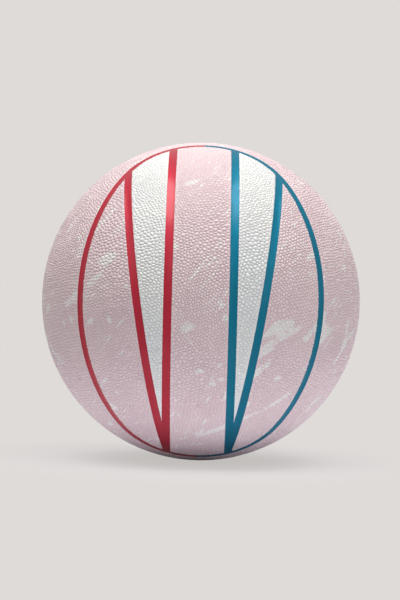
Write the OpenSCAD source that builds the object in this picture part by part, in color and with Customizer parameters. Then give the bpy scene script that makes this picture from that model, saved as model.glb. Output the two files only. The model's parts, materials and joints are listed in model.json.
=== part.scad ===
// Basketball, size 7: laminated cover panels on a moulded and wound carcass, blown up by a bladder.
// The ball's centre is the origin, the front oval looks along -Y, the valve along +Y, and +Z is up.
// Widths and lengths of panels are measured along the surface, between the middles of the channels.

/* [Ball] */
// Girth of the inflated ball round the cover
girth = 762; // [749:1:780]

/* [Layers] */
// Thickness of a cover panel
cover_t = 1.8; // [1.4:0.1:2.6]
// Thickness of the moulded rubber carcass under the cover
carcass_t = 0.9; // [0.6:0.1:2]
// Thickness of the wound thread round the bladder
winding_t = 0.5; // [0.3:0.1:1.5]
// Thickness of the bladder's wall
bladder_t = 1; // [0.6:0.1:2]

/* [Channels] */
// Width of a channel between two panels
channel_w = 6; // [4:0.1:7]
// Depth of the channel's floor under the cover
channel_depth = 0.7; // [0.3:0.1:1.2]

/* [Panels] */
// Width of an oval at its waist
oval_w = 192; // [178:1:206]
// Length of an oval
oval_l = 307.5; // [292:0.5:322]
// Width of the centre strip at its waist
strip_w = 45.8; // [39:0.2:52]
// Width of a wedge at the waist
wedge_w = 23; // [19:0.2:28]
// Height of the wedge's wide end above the waist, along the side of the oval
wedge_top = 106.5; // [98:0.5:112]
// Depth of the wedge's point below the waist, along the edge of the strip
wedge_tip = 140.5; // [128:0.5:144]

/* [Valve] */
// Diameter of the inflating needle's way into the plug
needle_d = 2.2; // [1.8:0.1:2.6]
// Depth of the needle's way, which ends at the plug's closed slit
needle_depth = 15; // [11:0.5:18]
// Width of the funnel at the mouth of the needle's way
funnel_d = 3.6; // [3:0.1:4.5]
// Diameter of the plug's head
head_d = 8.5; // [7.5:0.1:9.5]
// Thickness of the plug's head
head_t = 1.6; // [1:0.1:2]
// Diameter of the plug's stem
stem_d = 6; // [5:0.1:6.6]
// Length of the plug with its head
plug_l = 22; // [20:0.5:26]
// Diameter of the locking ring on the plug's inner end
lock_d = 8; // [7.2:0.1:8.6]
// Length of the locking ring
lock_l = 3.2; // [2:0.1:4]
// Diameter of the carcass's collar, which shows in the cover round the plug
collar_d = 13; // [11:0.5:16]
// Depth of the collar and the plug's head under the cover
collar_depth = 0.5; // [0.2:0.1:0.8]
// Diameter of the housing's boss inside the bladder
boss_d = 14; // [12:0.5:18]
// Diameter of the housing's flange, bonded under the bladder's wall
flange_d = 46; // [36:1:60]
// Thickness of the housing's flange
flange_t = 1.2; // [0.8:0.1:2]

/* [Hidden] */
$fn = 96;
// Radii of the layers, from the outside in
cover_r = girth / (2 * PI);
carcass_r = cover_r - cover_t;
winding_r = carcass_r - carcass_t;
bladder_r = winding_r - winding_t;
air_r = bladder_r - bladder_t;
channel_r = cover_r - channel_depth;
collar_r = cover_r - collar_depth;
// Every cutting shape reaches past the cover
reach = 2.5 * cover_r;
// A length along the surface as an angle at the ball's centre
function arc(length) = length / cover_r * 180 / PI;
half_channel = arc(channel_w / 2);
oval_lon = arc(oval_w / 2);
oval_lat = arc(oval_l / 2);
strip_lon = arc(strip_w / 2);
wedge_lon = arc(strip_w / 2 + wedge_w);
// The oval's sides follow two meridians, and a round end touches both of them
end_lat = atan((sin(oval_lat) - sin(oval_lon)) / cos(oval_lat));
end_radius = oval_lat - end_lat;
end_turn = asin(cos(oval_lon) / cos(end_radius));
side_lat = asin(cos(end_radius) * sin(end_lat) + sin(end_radius) * cos(end_turn) * cos(end_lat));
side_steps = 12;
end_steps = 24;
// The wedge's outer channel is the circle through its wide end, its waist and its point
strip_x = sin(strip_lon);
wedge_points = [
    [sin(oval_lon) * cos(arc(wedge_top)), -cos(oval_lon) * cos(arc(wedge_top)), sin(arc(wedge_top))],
    [sin(wedge_lon), -cos(wedge_lon), 0],
    [strip_x, -cos(strip_lon) * cos(arc(wedge_tip)), -cos(strip_lon) * sin(arc(wedge_tip))]
];
wedge_cross = cross(wedge_points[0] - wedge_points[1], wedge_points[2] - wedge_points[1]);
wedge_axis = wedge_cross / norm(wedge_cross) * sign(wedge_cross[0]);
wedge_rise = asin(wedge_axis * wedge_points[1]);

red = [0.66, 0.11, 0.2];
teal = [0.02, 0.42, 0.53];
pink = [0.86, 0.76, 0.76];
pearl = [0.9, 0.9, 0.88];
rubber = [0.16, 0.16, 0.17];
butyl = [0.09, 0.09, 0.1];
thread = [0.88, 0.86, 0.8];

// A point of the oval's side, moved out from the meridian by an angle
function side_point(side, lat, out) =
    cos(out) * [side * sin(oval_lon) * cos(lat), -cos(oval_lon) * cos(lat), sin(lat)]
    + sin(out) * [side * cos(oval_lon), sin(oval_lon), 0];

// A point of the oval's round end, at a turn from the end's middle
function end_point(end, turn, out) =
    cos(end_radius + out) * [0, -cos(end_lat), end * sin(end_lat)]
    + sin(end_radius + out) * [sin(turn), cos(turn) * sin(end_lat), end * cos(turn) * cos(end_lat)];

// The oval's closed outline on a ball of radius 1, wider than the middle of its channel by an angle
function oval_outline(out) = concat(
    [for (i = [0 : side_steps - 1]) side_point(1, side_lat * (2 * i / side_steps - 1), out)],
    [for (i = [0 : end_steps - 1]) end_point(1, end_turn * (1 - 2 * i / end_steps), out)],
    [for (i = [0 : side_steps - 1]) side_point(-1, side_lat * (1 - 2 * i / side_steps), out)],
    [for (i = [0 : end_steps - 1]) end_point(-1, end_turn * (2 * i / end_steps - 1), out)]
);

// All that lies inside the oval's outline as seen from the ball's centre, with radial walls
module oval_sector(out) {
    rim = oval_outline(out);
    count = len(rim);
    polyhedron(
        points = concat([[0, 0, 0], [0, -reach, 0]], reach * rim),
        faces = concat(
            [for (i = [0 : count - 1]) [0, 2 + i, 2 + (i + 1) % count]],
            [for (i = [0 : count - 1]) [1, 2 + (i + 1) % count, 2 + i]]
        )
    );
}

// The half of space beyond a circle on the ball, at an angle from the plane through the centre
module beyond(axis, rise) {
    turn = atan2(axis[1], axis[0]);
    tip = acos(axis[2] / norm(axis));
    rotate([0, tip, turn])
        translate([-reach, -reach, cover_r * sin(rise)])
            cube([2 * reach, 2 * reach, reach]);
}

module shell(outer, inner) {
    difference() {
        sphere(r = outer);
        sphere(r = inner);
    }
}

// A round hole or pin on the valve's axis between two distances from the ball's centre
module on_valve_axis(d, from, to) {
    translate([0, from, 0])
        rotate([-90, 0, 0])
            cylinder(d = d, h = to - from);
}

// The right wedge's outer channel, its inner edge or its outer edge
module beyond_wedge(side, out) {
    beyond([side * wedge_axis[0], wedge_axis[1], wedge_axis[2]], wedge_rise + out);
}

module beyond_strip(side, out) {
    beyond([side, 0, 0], strip_lon + out);
}

// Regions of the front oval, seen from the ball's centre
module centre_region() {
    difference() {
        oval_sector(-half_channel);
        beyond_strip(1, -half_channel);
        beyond_strip(-1, -half_channel);
    }
}

module wedge_region(side) {
    difference() {
        intersection() {
            oval_sector(-half_channel);
            beyond_strip(side, half_channel);
        }
        beyond_wedge(side, -half_channel);
    }
}

module lens_region(side) {
    intersection() {
        oval_sector(-half_channel);
        beyond_wedge(side, half_channel);
        beyond_strip(side, half_channel);
    }
}

// The back of the ball is its front turned half round about the X axis
module on_back() {
    rotate([180, 0, 0]) children();
}

module half_ball(side) {
    beyond([side, 0, 0], 0);
}

// One side of the oval's channels: the oval's rim, the strip's edge and the wedge's edge
module oval_channel(side) {
    difference() {
        intersection() {
            shell(channel_r, carcass_r);
            oval_sector(half_channel);
            half_ball(side);
        }
        centre_region();
        wedge_region(side);
        lens_region(side);
    }
}

// One side of the channel round the girth, between the front and back side panels
module girth_channel(side) {
    difference() {
        intersection() {
            shell(channel_r, carcass_r);
            half_ball(side);
        }
        beyond([0, -1, 0], half_channel);
        beyond([0, 1, 0], half_channel);
    }
}

module side_panel(side) {
    difference() {
        intersection() {
            shell(cover_r, carcass_r);
            half_ball(side);
            beyond([0, -1, 0], half_channel);
        }
        oval_sector(half_channel);
    }
}

module bladder() {
    color(butyl)
        difference() {
            shell(bladder_r, air_r);
            on_valve_axis(boss_d, 0, reach);
        }
}

// The boss reaches up through bladder and winding to the carcass, and its pocket locks the plug
module valve_housing() {
    color(rubber)
        difference() {
            intersection() {
                union() {
                    on_valve_axis(boss_d, collar_r - plug_l, cover_r);
                    intersection() {
                        shell(air_r, air_r - flange_t);
                        on_valve_axis(flange_d, 0, reach);
                    }
                }
                sphere(r = winding_r);
            }
            on_valve_axis(stem_d, 0, reach);
            on_valve_axis(lock_d, 0, collar_r - plug_l + lock_l);
        }
}

module valve_plug() {
    color(butyl)
        difference() {
            intersection() {
                union() {
                    on_valve_axis(head_d, collar_r - head_t, cover_r);
                    on_valve_axis(stem_d, collar_r - plug_l, collar_r - head_t);
                    on_valve_axis(lock_d, collar_r - plug_l, collar_r - plug_l + lock_l);
                }
                sphere(r = collar_r);
            }
            on_valve_axis(needle_d, collar_r - needle_depth, cover_r);
            translate([0, collar_r - (funnel_d - needle_d) / 2, 0])
                rotate([-90, 0, 0])
                    cylinder(d1 = needle_d, d2 = 3 * funnel_d - 2 * needle_d, h = 1.5 * (funnel_d - needle_d));
        }
}

module thread_winding() {
    color(thread)
        difference() {
            shell(bladder_r + winding_t, bladder_r);
            on_valve_axis(boss_d, 0, reach);
        }
}

// The carcass rises through the cover as a collar round the plug's head
module carcass() {
    color(rubber)
        difference() {
            union() {
                shell(carcass_r, winding_r);
                intersection() {
                    shell(collar_r, winding_r);
                    on_valve_axis(collar_d, 0, reach);
                }
            }
            on_valve_axis(stem_d, 0, reach);
            on_valve_axis(head_d, collar_r - head_t, reach);
        }
}

module front_left_channel() {
    color(red) oval_channel(-1);
}

module front_right_channel() {
    color(teal) oval_channel(1);
}

module back_left_channel() {
    color(red) on_back() oval_channel(-1);
}

module back_right_channel() {
    color(teal) on_back() oval_channel(1);
}

module girth_left_channel() {
    color(red) girth_channel(-1);
}

module girth_right_channel() {
    color(teal) girth_channel(1);
}

module front_centre_panel() {
    color(pink)
        intersection() {
            shell(cover_r, carcass_r);
            centre_region();
        }
}

module wedge_panel(side) {
    intersection() {
        shell(cover_r, carcass_r);
        wedge_region(side);
    }
}

module lens_panel(side) {
    intersection() {
        shell(cover_r, carcass_r);
        lens_region(side);
    }
}

module front_left_wedge_panel() {
    color(pearl) wedge_panel(-1);
}

module front_right_wedge_panel() {
    color(pearl) wedge_panel(1);
}

module front_left_lens_panel() {
    color(pink) lens_panel(-1);
}

module front_right_lens_panel() {
    color(pink) lens_panel(1);
}

// The valve's collar comes up through a hole in the middle of the back strip
module back_centre_panel() {
    color(pink)
        difference() {
            intersection() {
                shell(cover_r, carcass_r);
                on_back() centre_region();
            }
            on_valve_axis(collar_d, 0, reach);
        }
}

module back_left_wedge_panel() {
    color(pearl) on_back() wedge_panel(-1);
}

module back_right_wedge_panel() {
    color(pearl) on_back() wedge_panel(1);
}

module back_left_lens_panel() {
    color(pink) on_back() lens_panel(-1);
}

module back_right_lens_panel() {
    color(pink) on_back() lens_panel(1);
}

module front_left_side_panel() {
    color(pink) side_panel(-1);
}

module front_right_side_panel() {
    color(pink) side_panel(1);
}

module back_left_side_panel() {
    color(pink) on_back() side_panel(-1);
}

module back_right_side_panel() {
    color(pink) on_back() side_panel(1);
}

bladder();
valve_housing();
valve_plug();
thread_winding();
carcass();
front_left_channel();
front_right_channel();
back_left_channel();
back_right_channel();
girth_left_channel();
girth_right_channel();
front_centre_panel();
front_left_wedge_panel();
front_right_wedge_panel();
front_left_lens_panel();
front_right_lens_panel();
back_centre_panel();
back_left_wedge_panel();
back_right_wedge_panel();
back_left_lens_panel();
back_right_lens_panel();
front_left_side_panel();
front_right_side_panel();
back_left_side_panel();
back_right_side_panel();
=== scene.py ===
import json
import math

import bpy
import numpy as np
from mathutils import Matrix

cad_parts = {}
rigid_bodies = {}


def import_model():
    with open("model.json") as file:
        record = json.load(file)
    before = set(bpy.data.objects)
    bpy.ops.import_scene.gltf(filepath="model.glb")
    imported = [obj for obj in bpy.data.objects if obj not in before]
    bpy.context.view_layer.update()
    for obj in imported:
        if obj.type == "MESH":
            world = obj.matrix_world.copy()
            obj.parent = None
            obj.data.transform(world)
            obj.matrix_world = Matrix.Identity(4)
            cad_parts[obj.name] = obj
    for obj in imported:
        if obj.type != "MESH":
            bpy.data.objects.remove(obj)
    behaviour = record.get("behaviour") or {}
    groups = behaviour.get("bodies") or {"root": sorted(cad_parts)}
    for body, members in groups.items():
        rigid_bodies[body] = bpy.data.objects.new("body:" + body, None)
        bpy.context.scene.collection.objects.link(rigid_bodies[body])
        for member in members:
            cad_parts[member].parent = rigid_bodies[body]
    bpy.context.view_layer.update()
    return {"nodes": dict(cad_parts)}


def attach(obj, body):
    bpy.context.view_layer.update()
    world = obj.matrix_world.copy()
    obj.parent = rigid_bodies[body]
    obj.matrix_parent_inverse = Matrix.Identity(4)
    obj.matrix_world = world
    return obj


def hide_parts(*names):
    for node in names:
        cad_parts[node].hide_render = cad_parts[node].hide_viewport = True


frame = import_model()
nodes = frame["nodes"]

# Bladder and valve rubber: a blown butyl balloon with a moulded housing bonded into it, and a
# plug pushed into the housing from outside. The rubber is dull black, with a faint bloom on it.


def start_material(name):
    """Makes a material with a Principled shader and the piece's own coordinates."""
    material = bpy.data.materials.new(name)
    material.use_nodes = True
    tree = material.node_tree
    shader = tree.nodes["Principled BSDF"]
    place = tree.nodes.new("ShaderNodeTexCoord").outputs["Object"]
    return material, tree, shader, place


def srgb(red, green, blue):
    """A colour as a paint chart gives it, from 0 to 255, for a shader."""
    linear = []
    for part in (red, green, blue):
        c = part / 255
        linear.append(c / 12.92 if c <= 0.04045 else ((c + 0.055) / 1.055) ** 2.4)
    return (*linear, 1.0)


def add_noise(tree, place, scale, detail=3.0, roughness=0.55, distortion=0.0):
    noise = tree.nodes.new("ShaderNodeTexNoise")
    noise.inputs["Scale"].default_value = scale
    noise.inputs["Detail"].default_value = detail
    noise.inputs["Roughness"].default_value = roughness
    noise.inputs["Distortion"].default_value = distortion
    tree.links.new(place, noise.inputs["Vector"])
    return noise.outputs["Fac"]


def add_range(tree, value, low, high, to_low=0.0, to_high=1.0):
    """Maps a value smoothly from one range to another, and holds it at both ends."""
    ramp = tree.nodes.new("ShaderNodeMapRange")
    ramp.interpolation_type = "SMOOTHSTEP"
    ramp.inputs["From Min"].default_value = low
    ramp.inputs["From Max"].default_value = high
    ramp.inputs["To Min"].default_value = to_low
    ramp.inputs["To Max"].default_value = to_high
    tree.links.new(value, ramp.inputs["Value"])
    return ramp.outputs["Result"]


def add_mix(tree, factor, first, second):
    """Mixes two colours, each given as a value or a socket."""
    node = tree.nodes.new("ShaderNodeMix")
    node.data_type = "RGBA"
    for label, value in (("Factor_Float", factor), ("A_Color", first), ("B_Color", second)):
        socket = next(s for s in node.inputs if s.identifier == label)
        if isinstance(value, tuple):
            socket.default_value = value
        else:
            tree.links.new(value, socket)
    return next(s for s in node.outputs if s.identifier == "Result_Color")


def add_bump(tree, shader, height, strength, distance):
    bump = tree.nodes.new("ShaderNodeBump")
    bump.inputs["Strength"].default_value = strength
    bump.inputs["Distance"].default_value = distance
    tree.links.new(height, bump.inputs["Height"])
    tree.links.new(bump.outputs["Normal"], shader.inputs["Normal"])


def dull_rubber(name, colour, bloom):
    """Rubber with clouds of bloom and a fine tooth."""
    material, tree, shader, place = start_material(name)
    cloud = add_range(tree, add_noise(tree, place, scale=90.0), 0.35, 0.7)
    tooth = add_noise(tree, place, scale=1400.0, detail=2.0)
    roughness = add_range(tree, tooth, 0.3, 0.7, to_low=0.5, to_high=0.72)
    tree.links.new(add_mix(tree, cloud, colour, bloom), shader.inputs["Base Color"])
    tree.links.new(roughness, shader.inputs["Roughness"])
    add_bump(tree, shader, tooth, strength=0.25, distance=0.0001)
    return material


def wear(node, material):
    """Gives a CAD node its finished material."""
    slots = nodes[node].data.materials
    slots.clear()
    slots.append(material)


butyl = dull_rubber("butyl", colour=srgb(30, 30, 33), bloom=srgb(46, 46, 49))
moulded_rubber = dull_rubber("moulded_rubber", colour=srgb(42, 41, 43), bloom=srgb(62, 60, 62))
wear("bladder", butyl)
wear("valve_housing", moulded_rubber)
wear("valve_plug", butyl)

# Thread winding: fine thread wound round the bladder in every direction and set in latex, so
# that the ball keeps its round shape. It is off-white, with crossing lines of thread.
THREAD_TURNS = ((0.3, 0.2, 0.0), (1.2, -0.5, 0.7), (-0.8, 1.0, 1.9))
THREAD_FINENESS = 420.0
THREAD_WANDER = 1.5
LATEX = srgb(176, 166, 142)
THREAD = srgb(236, 230, 214)


def add_math(tree, operation, first, second):
    """Works on two numbers, each given as a value or a socket."""
    node = tree.nodes.new("ShaderNodeMath")
    node.operation = operation
    for socket, value in zip(node.inputs, (first, second)):
        if isinstance(value, float):
            socket.default_value = value
        else:
            tree.links.new(value, socket)
    return node.outputs["Value"]


winding_yarn, tree, shader, place = start_material("winding_yarn")
laid = 0.0
for turn in THREAD_TURNS:
    mapping = tree.nodes.new("ShaderNodeMapping")
    mapping.inputs["Rotation"].default_value = turn
    tree.links.new(place, mapping.inputs["Vector"])
    lines = tree.nodes.new("ShaderNodeTexWave")
    lines.inputs["Scale"].default_value = THREAD_FINENESS
    lines.inputs["Distortion"].default_value = THREAD_WANDER
    tree.links.new(mapping.outputs["Vector"], lines.inputs["Vector"])
    laid = add_math(tree, "MAXIMUM", laid, lines.outputs["Fac"])
yarn_colour = add_mix(tree, add_range(tree, laid, 0.3, 0.9), LATEX, THREAD)
tree.links.new(yarn_colour, shader.inputs["Base Color"])
shader.inputs["Roughness"].default_value = 0.7
add_bump(tree, shader, laid, strength=0.5, distance=0.0002)
wear("thread_winding", winding_yarn)

# Carcass: a rubber skin moulded over the winding. The cover is glued to it, and it shows only
# as the black collar that comes up through the cover round the valve's plug.
wear("carcass", moulded_rubber)

# Channels: moulded ribs on the carcass between the panels, a little hollow and lower than the
# cover. They have metallic paint under a lacquer, red on the ball's left half, teal on its right.
GIRTH = 0.762
COVER_R = GIRTH / (2 * math.pi)
COVER_T = 0.0018
ABOVE_CARCASS = 0.0003
OUTSIDE_R = COVER_R - COVER_T + ABOVE_CARCASS
CHANNEL_W = 0.006
CHANNEL_DEPTH = 0.0007
CHANNEL_EDGE_DEPTH = 0.0004
OVAL_W = 0.192
OVAL_L = 0.3075
STRIP_W = 0.0458
WEDGE_WAIST_W = 0.023
WEDGE_RISE = 0.1065
WEDGE_DROP = 0.1405
OVAL_LON = OVAL_W / 2 / COVER_R
OVAL_LAT = OVAL_L / 2 / COVER_R
STRIP_LON = STRIP_W / 2 / COVER_R
WEDGE_LON = STRIP_LON + WEDGE_WAIST_W / COVER_R
WEDGE_TOP = WEDGE_RISE / COVER_R
WEDGE_TIP = WEDGE_DROP / COVER_R
END_LAT = math.atan((math.sin(OVAL_LAT) - math.sin(OVAL_LON)) / math.cos(OVAL_LAT))
END_RADIUS = OVAL_LAT - END_LAT
RIB_FINENESS = 7
RIB_CUTS = 3
RIB_SURROUND = 0.0016
RIB_CLEARANCE = 0.0008
SAME_CORNER = 1e-6
SMOOTH_UP_TO = math.radians(50)
FLAT_LIMIT = -0.98
HIDDEN_FACING = 0.25
OUTSIDE_SHARE = 0.88
HIDDEN_SHARE = 0.1
HIDDEN_ROW = (0.0, 0.89)


def wedge_circle():
    """The axis of the circle that a wedge's outer channel follows, and the circle's angle."""
    top = np.array([
        math.sin(OVAL_LON) * math.cos(WEDGE_TOP),
        -math.cos(OVAL_LON) * math.cos(WEDGE_TOP),
        math.sin(WEDGE_TOP),
    ])
    waist = np.array([math.sin(WEDGE_LON), -math.cos(WEDGE_LON), 0.0])
    point = np.array([
        math.sin(STRIP_LON),
        -math.cos(STRIP_LON) * math.cos(WEDGE_TIP),
        -math.cos(STRIP_LON) * math.sin(WEDGE_TIP),
    ])
    axis = np.cross(top - waist, point - waist)
    axis = axis / np.linalg.norm(axis) * np.sign(axis[0])
    return axis, math.asin(axis @ waist)


def unit(points):
    """The directions of points from the ball's centre."""
    return points / np.linalg.norm(points, axis=1)[:, None]


def arcsin(value):
    return np.arcsin(np.clip(value, -1, 1))


def edge_distance(points):
    """How far points lie inside the edge of their panel, in metres, and below 0 in a channel."""
    p = unit(points)
    x = np.abs(p[:, 0])
    y = -np.abs(p[:, 1])
    z = np.where(p[:, 1] > 0, -p[:, 2], p[:, 2])
    side = arcsin(-math.cos(OVAL_LON) * x - math.sin(OVAL_LON) * y)
    end = END_RADIUS - np.pi / 2 + arcsin(-math.cos(END_LAT) * y + math.sin(END_LAT) * np.abs(z))
    past_side = (
        -math.sin(END_LAT) * math.sin(OVAL_LON) * x
        + math.sin(END_LAT) * math.cos(OVAL_LON) * y
        + math.cos(END_LAT) * math.cos(OVAL_LON) * np.abs(z)
    )
    oval = np.where(past_side > 0, end, side)
    strip = arcsin(x) - STRIP_LON
    axis, rise = wedge_circle()
    wedge = arcsin(axis[0] * x + axis[1] * y + axis[2] * z) - rise
    within = np.minimum(oval, np.abs(strip))
    within = np.where(strip > 0, np.minimum(within, np.abs(wedge)), within)
    outside = np.minimum(-oval, arcsin(-y))
    return np.where(oval > 0, within, outside) * COVER_R - CHANNEL_W / 2


def read_all(items, field, width=1, kind=float):
    """One field of all corners, edges or faces of a mesh, with a row for each if it is wide."""
    values = np.empty(len(items) * width, kind)
    items.foreach_get(field, values)
    return values.reshape(-1, width) if width > 1 else values


def places(piece):
    return read_all(piece.data.vertices, "co", 3)


def set_places(piece, points):
    piece.data.vertices.foreach_set("co", points.ravel())
    piece.data.update()


def pick_only(piece):
    bpy.ops.object.select_all(action="DESELECT")
    piece.select_set(True)
    bpy.context.view_layer.objects.active = piece


def cut_piece(skin, node, clearance):
    """Cuts one piece out of a moulded ball along the walls of its CAD solid."""
    pick_only(nodes[node])
    bpy.ops.object.duplicate()
    cutter = bpy.context.object
    bpy.ops.object.parent_clear(type="CLEAR_KEEP_TRANSFORM")
    bpy.ops.object.mode_set(mode="EDIT")
    bpy.ops.mesh.select_all(action="SELECT")
    bpy.ops.mesh.remove_doubles(threshold=SAME_CORNER)
    bpy.ops.object.mode_set(mode="OBJECT")
    points = places(cutter)
    radius = np.linalg.norm(points, axis=1)
    outer = radius > OUTSIDE_R
    points[outer] *= (1 + clearance / radius[outer])[:, None]
    set_places(cutter, points)
    pick_only(skin)
    bpy.ops.object.duplicate()
    piece = bpy.context.object
    cut = piece.modifiers.new("outline", "BOOLEAN")
    cut.operation = "INTERSECT"
    cut.solver = "MANIFOLD"
    cut.object = cutter
    bpy.ops.object.modifier_apply(modifier=cut.name)
    bpy.data.objects.remove(cutter)
    piece.name = node + "_skin"
    piece.data.name = piece.name
    return piece


def lay_flat(piece):
    """Maps the piece's outside flat as seen from the ball's centre, its hidden faces above it."""
    points = places(piece)
    aim = points[np.linalg.norm(points, axis=1) > OUTSIDE_R].mean(0)
    aim = aim / np.linalg.norm(aim)
    across = np.cross((0.0, 0.0, 1.0), aim)
    across = across / np.linalg.norm(across)
    up = np.cross(aim, across)
    p = unit(points)
    spread = np.sqrt(2 / (1 + np.clip(p @ aim, FLAT_LIMIT, 1)))
    flat = np.stack([p @ across * spread, p @ up * spread], 1)
    low = flat.min(0)
    flat = (flat - low) / (flat.max(0) - low).max()
    mesh = piece.data
    normals = read_all(mesh.polygons, "normal", 3)
    centres = read_all(mesh.polygons, "center", 3)
    facing = (normals * centres).sum(1) / np.linalg.norm(centres, axis=1)
    counts = read_all(mesh.polygons, "loop_total", kind=np.int32)
    hidden = np.repeat(facing < HIDDEN_FACING, counts)
    flat = flat[read_all(mesh.loops, "vertex_index", kind=np.int32)]
    uv = flat * OUTSIDE_SHARE
    uv[hidden] = flat[hidden] * HIDDEN_SHARE + HIDDEN_ROW
    layer = mesh.uv_layers.new(name="OFBake")
    layer.uv.foreach_set("vector", uv.astype(np.float32).ravel())


def finish_piece(piece, node, material):
    piece.data.materials.clear()
    piece.data.materials.append(material)
    pick_only(piece)
    bpy.ops.object.shade_smooth_by_angle(angle=SMOOTH_UP_TO)
    lay_flat(piece)
    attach(piece, "root")
    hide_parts(node)


def channel_skin():
    """A smooth ball with fine faces near the channels, hollowed along each of them."""
    bpy.ops.object.select_all(action="DESELECT")
    bpy.ops.mesh.primitive_ico_sphere_add(subdivisions=RIB_FINENESS, radius=COVER_R)
    ball = bpy.context.object
    ball.name = "channel_skin"
    faces = ball.data.polygons
    near = edge_distance(read_all(faces, "center", 3)) < RIB_SURROUND
    bpy.ops.object.mode_set(mode="EDIT")
    bpy.ops.mesh.select_mode(type="FACE")
    bpy.ops.mesh.select_all(action="DESELECT")
    bpy.ops.object.mode_set(mode="OBJECT")
    faces.foreach_set("select", near)
    bpy.ops.object.mode_set(mode="EDIT")
    bpy.ops.mesh.subdivide(number_cuts=RIB_CUTS)
    bpy.ops.mesh.select_all(action="SELECT")
    bpy.ops.mesh.quads_convert_to_tris()
    bpy.ops.object.mode_set(mode="OBJECT")
    points = places(ball)
    inward = np.clip(-edge_distance(points) / (CHANNEL_W / 2), 0, 1)
    hollow = (CHANNEL_DEPTH - CHANNEL_EDGE_DEPTH) * (1 - (1 - inward) ** 2)
    set_places(ball, unit(points) * (COVER_R - (CHANNEL_EDGE_DEPTH + hollow))[:, None])
    return ball


def channel_paint(name, colour, deep, gleam, flake, lacquer):
    """Metallic paint with faint clouds in it, under a clear lacquer."""
    material, tree, shader, place = start_material(name)
    cloud = add_range(tree, add_noise(tree, place, scale=60.0, detail=4.0), 0.3, 0.75)
    fine = add_noise(tree, place, scale=140.0, detail=2.0)
    roughness = add_range(tree, fine, 0.3, 0.7, to_low=0.51, to_high=0.59)
    tree.links.new(add_mix(tree, cloud, colour, deep), shader.inputs["Base Color"])
    tree.links.new(roughness, shader.inputs["Roughness"])
    shader.inputs["Metallic"].default_value = flake
    shader.inputs["Specular IOR Level"].default_value = 0.1
    shader.inputs["Specular Tint"].default_value = gleam
    shader.inputs["Coat Weight"].default_value = lacquer
    shader.inputs["Coat Roughness"].default_value = 0.24
    shader.inputs["Coat IOR"].default_value = 1.45
    add_bump(tree, shader, cloud, strength=0.1, distance=0.0001)
    return material


red_paint = channel_paint(
    "red_paint",
    colour=srgb(174, 12, 45),
    deep=srgb(166, 11, 41),
    gleam=(1.0, 0.45, 0.5, 1.0),
    flake=0.45,
    lacquer=0.8,
)
teal_paint = channel_paint(
    "teal_paint",
    colour=srgb(0, 111, 138),
    deep=srgb(0, 105, 132),
    gleam=(0.0, 0.85, 1.0, 1.0),
    flake=0.64,
    lacquer=0.36,
)
ribs = channel_skin()
for where in ("front", "back", "girth"):
    for half, paint, slot in (("left", red_paint, "channel_red"), ("right", teal_paint, "channel_teal")):
        rib_node = where + "_" + half + "_channel"
        finish_piece(cut_piece(ribs, rib_node, RIB_CLEARANCE), rib_node, paint)
bpy.data.objects.remove(ribs)

# Cover panels: sheets of composite leather with an embossed pebble grain, cut to shape, their
# edges rolled down, and glued to the carcass between the ribs. Most are pink, the wedges pearl.
PEBBLE_PITCH = 0.00265
PEBBLE_ROW = 0.0021
PEBBLE_H = 0.00077
PEBBLE_FOOT = 0.0003
PEBBLE_SHOULDER = 0.0006
FOOT_RISE = 0.58
SHOULDER_RISE = 0.42
SMALL_FOOT = 0.72
SMALL_TOP = 0.2
LEAST_TOP = 0.12
LEAST_TOP_FACING = 0.7
LEAST_SLOPE_FACING = 0.1
GRAIN_SEED = 11
GRAIN_LEAN = math.radians(17)
DRIFT_LENGTHS = ((0.090, 0.6), (0.050, 0.3), (0.026, 0.1))
DRIFT_WAVES = 4
DRIFT_PHASE = 6.28
DRIFT_ROWS = 1.16
PEBBLE_SCATTER = 0.3
COLLAR_D = 0.013
ROLL_W = 0.0014
ROLL_DROP = 0.0003
FLATTER_W = 0.002
FLATTER_SHARE = 0.5
COVER_CLEARANCE = 0.0004
CROWN_DEPTH = 0.3 * PEBBLE_H
# The share of painted shade where the grain is lowest, between pebbles and at rolled edges.
VALLEY_SHADE_STRENGTH = 0.55
SCUFF_STRENGTH = 0.9


def join_rings(upper, lower):
    """Triangles between two rings of corners, going round both at the same pace."""
    faces = []
    i = j = 0
    while i < len(upper) or j < len(lower):
        above = upper[i % len(upper)]
        below = lower[j % len(lower)]
        upper_lags = (i + 0.5) / len(upper) < (j + 0.5) / len(lower)
        if j == len(lower) or (i < len(upper) and upper_lags):
            i += 1
            faces.append((above, below, upper[i % len(upper)]))
        else:
            j += 1
            faces.append((above, below, lower[j % len(lower)]))
    return faces


def pebble_middles():
    """A ball whose corners are the middles of the pebbles: rings of them, joined by triangles."""
    rows = round(math.pi * COVER_R / PEBBLE_ROW)
    corners = []
    faces = []
    before = []
    for row in range(rows):
        lean = math.pi * (row + 0.5) / rows
        count = max(3, round(2 * math.pi * COVER_R * math.sin(lean) / PEBBLE_PITCH))
        ring = list(range(len(corners), len(corners) + count))
        for angle in 2 * math.pi / count * (np.arange(count) + 0.5 * (row % 2)):
            x = math.sin(lean) * math.cos(angle)
            y = math.sin(lean) * math.sin(angle)
            corners.append((x, y, math.cos(lean)))
        faces.extend(join_rings(before, ring) if before else [ring])
        before = ring
    faces.append(before[::-1])
    mesh = bpy.data.meshes.new("pebble_skin")
    mesh.from_pydata(corners, [], faces)
    ball = bpy.data.objects.new("pebble_skin", mesh)
    bpy.context.collection.objects.link(ball)
    return ball


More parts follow.
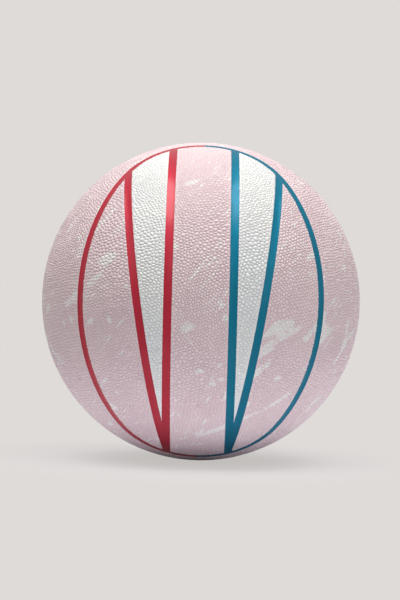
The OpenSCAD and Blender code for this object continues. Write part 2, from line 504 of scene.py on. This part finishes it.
def loosen(ball):
    """Leans the rows of pebbles, and moves each from its place by slow waves and by chance."""
    chance = np.random.default_rng(GRAIN_SEED)
    points = places(ball) @ np.array([
        [math.cos(GRAIN_LEAN), 0.0, math.sin(GRAIN_LEAN)],
        [0.0, 1.0, 0.0],
        [-math.sin(GRAIN_LEAN), 0.0, math.cos(GRAIN_LEAN)],
    ])
    drift = np.zeros_like(points)
    for length, share in DRIFT_LENGTHS:
        for _ in range(DRIFT_WAVES):
            wave = chance.normal(size=3)
            wave = wave / np.linalg.norm(wave) * 2 * math.pi * COVER_R / length
            sway = chance.normal(size=3)
            phase = chance.uniform(0, DRIFT_PHASE)
            drift += share * np.sin(points @ wave + phase)[:, None] * sway
    drift += chance.uniform(-PEBBLE_SCATTER, PEBBLE_SCATTER, points.shape)
    moved = points + drift * PEBBLE_ROW * DRIFT_ROWS / COVER_R
    set_places(ball, unit(moved) * (COVER_R - PEBBLE_H))


def turn_into_cells(ball):
    """Puts a face round each corner, in place of the triangles between them."""
    pick_only(ball)
    bpy.ops.object.mode_set(mode="EDIT")
    bpy.ops.mesh.select_all(action="SELECT")
    bpy.ops.mesh.beautify_fill(angle_limit=math.pi)
    bpy.ops.mesh.normals_make_consistent(inside=False)
    bpy.ops.object.mode_set(mode="OBJECT")
    cells = bpy.data.node_groups.new("pebble_cells", "GeometryNodeTree")
    cells.interface.new_socket("Geometry", in_out="INPUT", socket_type="NodeSocketGeometry")
    cells.interface.new_socket("Geometry", in_out="OUTPUT", socket_type="NodeSocketGeometry")
    dual = cells.nodes.new("GeometryNodeDualMesh")
    cells.links.new(cells.nodes.new("NodeGroupInput").outputs[0], dual.inputs[0])
    cells.links.new(dual.outputs[0], cells.nodes.new("NodeGroupOutput").inputs[0])
    turned = ball.modifiers.new("cells", "NODES")
    turned.node_group = cells
    bpy.ops.object.modifier_apply(modifier=turned.name)


def open_tops(ball, small):
    """Lays out anew, at a share of its cell, each selected top that folds over in a small cell."""
    mesh = ball.data
    count = len(mesh.polygons)
    is_top = read_all(mesh.polygons, "select", kind=bool)
    counts = read_all(mesh.polygons, "loop_total", kind=np.int32)
    starts = read_all(mesh.polygons, "loop_start", kind=np.int32)
    corners = read_all(mesh.loops, "vertex_index", kind=np.int32)
    owner = np.full(len(mesh.vertices), -1)
    of_top = np.repeat(is_top, counts)
    owner[corners[of_top]] = np.repeat(np.arange(count), counts)[of_top]
    ends = read_all(mesh.edges, "vertices", 2, np.int32)
    spokes = ends[(owner[ends] >= 0).sum(1) == 1]
    inner = np.where(owner[spokes[:, 0]] >= 0, spokes[:, 0], spokes[:, 1])
    outer = spokes.sum(1) - inner
    top = owner[inner]
    points = places(ball)
    middle = np.stack([np.bincount(top, points[outer, axis], count) for axis in range(3)], 1)
    middle = middle / np.maximum(np.bincount(top, minlength=count), 1)[:, None]
    reach = points[outer] - middle[top]
    share = ((points[inner] - middle[top]) * reach).sum(1) / (reach ** 2).sum(1)
    normals = read_all(mesh.polygons, "normal", 3)
    facing = (normals * read_all(mesh.polygons, "center", 3)).sum(1) / COVER_R
    beside = np.maximum.reduceat(owner[corners], starts)
    tight = is_top & (facing < LEAST_TOP_FACING)
    tight[beside[(beside >= 0) & (facing < LEAST_SLOPE_FACING)]] = True
    tight[top[share < LEAST_TOP]] = True
    drawn = tight[top]
    laid = middle[top] + reach * small
    laid *= (np.linalg.norm(points[inner], axis=1) / np.linalg.norm(laid, axis=1))[:, None]
    points[inner[drawn]] = laid[drawn]
    set_places(ball, points)


def pebble_skin():
    """A ball of pebbles in loose hexagons, rolled down at each panel's edge."""
    ball = pebble_middles()
    loosen(ball)
    turn_into_cells(ball)
    bpy.ops.object.mode_set(mode="EDIT")
    bpy.ops.mesh.select_all(action="SELECT")
    bpy.ops.object.mode_set(mode="OBJECT")
    for width, rise, small in (
        (PEBBLE_FOOT, FOOT_RISE, SMALL_FOOT),
        (PEBBLE_SHOULDER, SHOULDER_RISE, SMALL_TOP),
    ):
        bpy.ops.object.mode_set(mode="EDIT")
        bpy.ops.mesh.inset(thickness=width, depth=PEBBLE_H * rise, use_individual=True)
        bpy.ops.object.mode_set(mode="OBJECT")
        open_tops(ball, small)
    points = places(ball)
    radius = np.linalg.norm(points, axis=1)
    height = np.clip(radius - (COVER_R - PEBBLE_H), 0, PEBBLE_H)
    hole = np.arccos(np.clip(points[:, 1] / radius, -1, 1)) * COVER_R - COLLAR_D / 2
    inside = np.minimum(edge_distance(points), hole)
    rolled = 1 - np.sqrt(1 - (1 - np.clip(inside / ROLL_W, 0, 1)) ** 2)
    shallow = 1 - FLATTER_SHARE * (1 - np.clip(inside / FLATTER_W, 0, 1))
    new = COVER_R - (PEBBLE_H - height) * shallow - ROLL_DROP * rolled
    set_places(ball, unit(points) * new[:, None])
    return ball


def start_group(name, inputs, outputs):
    """Makes an empty shader node group with named sockets."""
    group = bpy.data.node_groups.new(name, "ShaderNodeTree")
    for label, kind in inputs:
        group.interface.new_socket(label, in_out="INPUT", socket_type=kind)
    for label, kind in outputs:
        group.interface.new_socket(label, in_out="OUTPUT", socket_type=kind)
    entry = group.nodes.new("NodeGroupInput")
    leave = group.nodes.new("NodeGroupOutput")
    return group, entry, leave


def grain_group():
    """Where the grain is low, a fine tooth on the pebbles, and wide clouds."""
    group, entry, leave = start_group(
        "pebble_grain",
        [("Vector", "NodeSocketVector")],
        [("Low", "NodeSocketFloat"), ("Tooth", "NodeSocketFloat"), ("Cloud", "NodeSocketFloat")],
    )
    place = entry.outputs["Vector"]
    length = group.nodes.new("ShaderNodeVectorMath")
    length.operation = "LENGTH"
    group.links.new(place, length.inputs[0])
    valley = COVER_R - PEBBLE_H
    crown = COVER_R - CROWN_DEPTH
    low = add_range(group, length.outputs["Value"], valley, crown, to_low=1.0, to_high=0.0)
    group.links.new(low, leave.inputs["Low"])
    group.links.new(add_noise(group, place, scale=2600.0, detail=2.0), leave.inputs["Tooth"])
    group.links.new(add_noise(group, place, scale=22.0, detail=4.0), leave.inputs["Cloud"])
    return group


def turn_and_stretch(tree, place, turn, stretch):
    mapping = tree.nodes.new("ShaderNodeMapping")
    mapping.vector_type = "TEXTURE"
    mapping.inputs["Rotation"].default_value = turn
    mapping.inputs["Scale"].default_value = stretch
    tree.links.new(place, mapping.inputs["Vector"])
    return mapping.outputs["Vector"]


def scuff_group():
    """Pale brushed strokes broken up by the grain, small flakes and a few thin scratches."""
    group, entry, leave = start_group(
        "brushed_scuffs",
        [("Vector", "NodeSocketVector"), ("Low", "NodeSocketFloat")],
        [("Mask", "NodeSocketFloat")],
    )
    place = entry.outputs["Vector"]
    brushed = turn_and_stretch(group, place, turn=(0.0, -0.6, 0.0), stretch=(3.6, 1.4, 1.0))
    brushed = add_noise(group, brushed, scale=62.0, detail=1.0, roughness=0.4, distortion=0.5)
    stroke = add_range(group, brushed, 0.66, 0.7)
    torn = add_range(group, add_noise(group, place, scale=270.0), 0.3, 0.46)
    flake = add_range(group, add_noise(group, place, scale=96.0, detail=1.0), 0.695, 0.725)
    scratched = turn_and_stretch(group, place, turn=(0.0, -0.9, 0.0), stretch=(26.0, 4.0, 1.0))
    scratch = add_range(group, add_noise(group, scratched, scale=620.0, detail=0.0), 0.7, 0.74)
    region = add_range(group, add_noise(group, place, scale=16.0, detail=1.0), 0.47, 0.55)
    worn = add_math(group, "MAXIMUM", add_math(group, "MULTIPLY", stroke, torn), flake)
    worn = add_math(group, "MAXIMUM", worn, add_math(group, "MULTIPLY", scratch, region))
    raised = add_range(group, entry.outputs["Low"], 0.0, 1.0, to_low=1.0, to_high=0.7)
    group.links.new(add_math(group, "MULTIPLY", worn, raised), leave.inputs["Mask"])
    return group


pebble_grain = grain_group()
brushed_scuffs = scuff_group()


def cover_leather(name, colour, painted_shade_colour, cloud_colour, scuff_colour=None):
    """Leather with painted shade where the grain is low, and scuffs if they have a colour."""
    material, tree, shader, place = start_material(name)
    grain = tree.nodes.new("ShaderNodeGroup")
    grain.node_tree = pebble_grain
    tree.links.new(place, grain.inputs["Vector"])
    cloud = add_range(tree, grain.outputs["Cloud"], 0.35, 0.7)
    # Painted shade: the colour darkens where the grain is low, between pebbles and at the rolled edges.
    valley = add_math(tree, "MULTIPLY", grain.outputs["Low"], VALLEY_SHADE_STRENGTH)
    base = add_mix(tree, valley, add_mix(tree, cloud, colour, cloud_colour), painted_shade_colour)
    if scuff_colour:
        scuff = tree.nodes.new("ShaderNodeGroup")
        scuff.node_tree = brushed_scuffs
        tree.links.new(place, scuff.inputs["Vector"])
        tree.links.new(grain.outputs["Low"], scuff.inputs["Low"])
        worn = add_math(tree, "MULTIPLY", scuff.outputs["Mask"], SCUFF_STRENGTH)
        base = add_mix(tree, worn, base, scuff_colour)
    roughness = add_range(tree, grain.outputs["Tooth"], 0.3, 0.7, to_low=0.36, to_high=0.5)
    tree.links.new(base, shader.inputs["Base Color"])
    tree.links.new(roughness, shader.inputs["Roughness"])
    shader.inputs["Specular IOR Level"].default_value = 0.55
    shader.inputs["Sheen Weight"].default_value = 0.05
    add_bump(tree, shader, grain.outputs["Tooth"], strength=0.2, distance=0.00006)
    return material


pink_leather = cover_leather(
    "pink_leather",
    colour=srgb(226, 207, 209),
    painted_shade_colour=srgb(186, 156, 159),
    cloud_colour=srgb(221, 200, 204),
    scuff_colour=srgb(231, 230, 226),
)
pearl_leather = cover_leather(
    "pearl_leather",
    colour=srgb(230, 232, 229),
    painted_shade_colour=srgb(189, 193, 189),
    cloud_colour=srgb(224, 227, 227),
)
PANELS = (
    ("centre", pink_leather, "cover_pink"),
    ("left_wedge", pearl_leather, "cover_pearl"),
    ("right_wedge", pearl_leather, "cover_pearl"),
    ("left_lens", pink_leather, "cover_pink"),
    ("right_lens", pink_leather, "cover_pink"),
    ("left_side", pink_leather, "cover_pink"),
    ("right_side", pink_leather, "cover_pink"),
)
pebbles = pebble_skin()
for where in ("front", "back"):
    for panel, leather, slot in PANELS:
        panel_node = where + "_" + panel + "_panel"
        finish_piece(cut_piece(pebbles, panel_node, COVER_CLEARANCE), panel_node, leather)
bpy.data.objects.remove(pebbles)

# Floor, backdrop and light: the ball stands on a floor of the backdrop's colour, under one large
# soft lamp and two weak fills. A pale board under it throws light back up at its underside, and
# glows with painted bounce light besides.
BACKDROP = srgb(223, 219, 216)
WHITE = (1.0, 1.0, 1.0, 1.0)
FLOOR_SIZE = 8.0
FLOOR_GAP = 0.0002
FLOOR_COLOUR = (0.2, 0.2, 0.2, 1.0)
BOARD_COLOUR = (0.77, 0.77, 0.83, 1.0)
BOARD_CENTRE = (0.05, -0.06, 0.0)
BOARD_EDGE = (0.18, 0.32)
BOARD_LIGHT = (0.89, 0.92, 1.0, 1.0)
BOARD_LIGHT_STRENGTH = 0.36
SHADE_EDGE = (0.05, 0.11)
SHADOW_EDGE = (0.08, 0.2)
SHADOW_BACKDROP = 0.87
SHADOW_PLAIN = 0.82
AIR_COLOUR = (0.98, 0.98, 1.0, 1.0)
AIR_STRENGTH = 0.26


def sees_backdrop(tree):
    """1 for the rays that show the backdrop: the camera's, and those a gloss or glass sends on."""
    rays = tree.nodes.new("ShaderNodeLightPath").outputs
    sent_on = add_math(tree, "MAXIMUM", rays["Is Glossy Ray"], rays["Is Transmission Ray"])
    return add_math(tree, "MAXIMUM", rays["Is Camera Ray"], sent_on)


def mix_surfaces(tree, factor, lit, seen, output):
    blend = tree.nodes.new("ShaderNodeMixShader")
    tree.links.new(factor, blend.inputs["Fac"])
    tree.links.new(lit, blend.inputs[1])
    tree.links.new(seen, blend.inputs[2])
    tree.links.new(blend.outputs["Shader"], tree.nodes[output].inputs["Surface"])


def add_distance(tree, place, centre):
    node = tree.nodes.new("ShaderNodeVectorMath")
    node.operation = "DISTANCE"
    node.inputs[1].default_value = centre
    tree.links.new(place, node.inputs[0])
    return node.outputs["Value"]


bpy.ops.object.select_all(action="DESELECT")
bpy.ops.mesh.primitive_plane_add(size=FLOOR_SIZE, location=(0.0, 0.0, -COVER_R - FLOOR_GAP))
floor = bpy.context.object
floor.name = "floor"
sweep, tree, shader, place = start_material("sweep")
away = add_distance(tree, place, (0.0, 0.0, 0.0))
off_board = add_range(tree, add_distance(tree, place, BOARD_CENTRE), *BOARD_EDGE)
on_board = add_math(tree, "SUBTRACT", 1.0, off_board)
floor_colour = add_mix(tree, off_board, BOARD_COLOUR, FLOOR_COLOUR)
# Painted bounce light: the board glows, except in the ball's shade right under it.
painted_board_glow = add_range(tree, away, *SHADE_EDGE, to_low=0.0, to_high=BOARD_LIGHT_STRENGTH)
tree.links.new(floor_colour, shader.inputs["Base Color"])
tree.links.new(add_math(tree, "MULTIPLY", painted_board_glow, on_board), shader.inputs["Emission Strength"])
shader.inputs["Emission Color"].default_value = BOARD_LIGHT
shader.inputs["Roughness"].default_value = 0.9
shader.inputs["Specular IOR Level"].default_value = 0.0
glossy = tree.nodes.new("ShaderNodeLightPath").outputs["Is Glossy Ray"]
mirrored = add_math(tree, "MULTIPLY", glossy, on_board)
glow = tree.nodes.new("ShaderNodeEmission")
glow_strength = add_range(tree, away, *SHADOW_EDGE, to_low=SHADOW_BACKDROP, to_high=1.0)
tree.links.new(add_mix(tree, mirrored, BACKDROP, WHITE), glow.inputs["Color"])
tree.links.new(glow_strength, glow.inputs["Strength"])
plain = add_range(tree, away, *SHADOW_EDGE, to_low=SHADOW_PLAIN, to_high=1.0)
under = add_range(tree, away, *SHADE_EDGE, to_low=1.0, to_high=0.0)
in_shade = add_math(tree, "MULTIPLY", glossy, under)
plain = add_math(tree, "MULTIPLY", plain, add_math(tree, "SUBTRACT", 1.0, in_shade))
plain = add_math(tree, "MULTIPLY", sees_backdrop(tree), plain)
mix_surfaces(tree, plain, shader.outputs["BSDF"], glow.outputs["Emission"], "Material Output")
floor.data.materials.append(sweep)

world = bpy.data.worlds.new("studio")
bpy.context.scene.world = world
world.use_nodes = True
sky = world.node_tree
air = sky.nodes["Background"]
air.inputs["Color"].default_value = AIR_COLOUR
air.inputs["Strength"].default_value = AIR_STRENGTH
seen = sky.nodes.new("ShaderNodeBackground")
seen.inputs["Color"].default_value = BACKDROP
mix_surfaces(
    sky, sees_backdrop(sky), air.outputs["Background"], seen.outputs["Background"], "World Output"
)


def add_lamp(name, location, rotation, width, height, power, colour):
    bpy.ops.object.light_add(type="AREA", location=location, rotation=rotation)
    lamp = bpy.context.object
    lamp.name = name
    lamp.data.shape = "RECTANGLE"
    lamp.data.size = width
    lamp.data.size_y = height
    lamp.data.energy = power
    lamp.data.color = colour


add_lamp(
    "overhead",
    location=(0.0, -0.45, 2.1),
    rotation=(0.21, 0.0, 0.0),
    width=2.4,
    height=1.4,
    power=59.0,
    colour=(1.0, 0.96, 0.943),
)
add_lamp(
    "side_fill",
    location=(1.5, -1.1, 0.5),
    rotation=(1.31, 0.0, 0.94),
    width=1.8,
    height=1.8,
    power=6.6,
    colour=(0.94, 0.98, 1.0),
)
add_lamp(
    "left_fill",
    location=(-1.1, -1.1, 1.2),
    rotation=(0.915, 0.0, -0.785),
    width=1.8,
    height=1.8,
    power=6.0,
    colour=(1.0, 1.0, 1.0),
)

# Camera: ten radii away, a little under the height of the ball's middle, and turned a little
# aside and rolled, as the photograph was taken.
BALL_PIXELS = 158.95
PHOTO_H_PIXELS = 600
SHIFT_PIXELS = (-0.6, 1.4)
SENSOR_H = 36.0
DISTANCE = 10 * COVER_R
LOOK_UP = math.radians(0.46)
ROLL = math.radians(-1.39)
ASIDE = math.radians(0.16)
lens_pixels = BALL_PIXELS / math.tan(math.asin(COVER_R / DISTANCE))
level = DISTANCE * math.cos(LOOK_UP)
spot = (level * math.sin(ASIDE), -level * math.cos(ASIDE), -DISTANCE * math.sin(LOOK_UP))
bpy.ops.object.camera_add(location=spot, rotation=(math.pi / 2 + LOOK_UP, ROLL, ASIDE))
camera = bpy.context.object
camera.name = "camera"
camera.data.sensor_fit = "VERTICAL"
camera.data.sensor_height = SENSOR_H
camera.data.lens = lens_pixels / PHOTO_H_PIXELS * SENSOR_H
camera.data.shift_x = SHIFT_PIXELS[0] / PHOTO_H_PIXELS
camera.data.shift_y = SHIFT_PIXELS[1] / PHOTO_H_PIXELS
camera.data.dof.use_dof = False
bpy.context.scene.camera = camera
bpy.context.scene.view_settings.view_transform = "Standard"
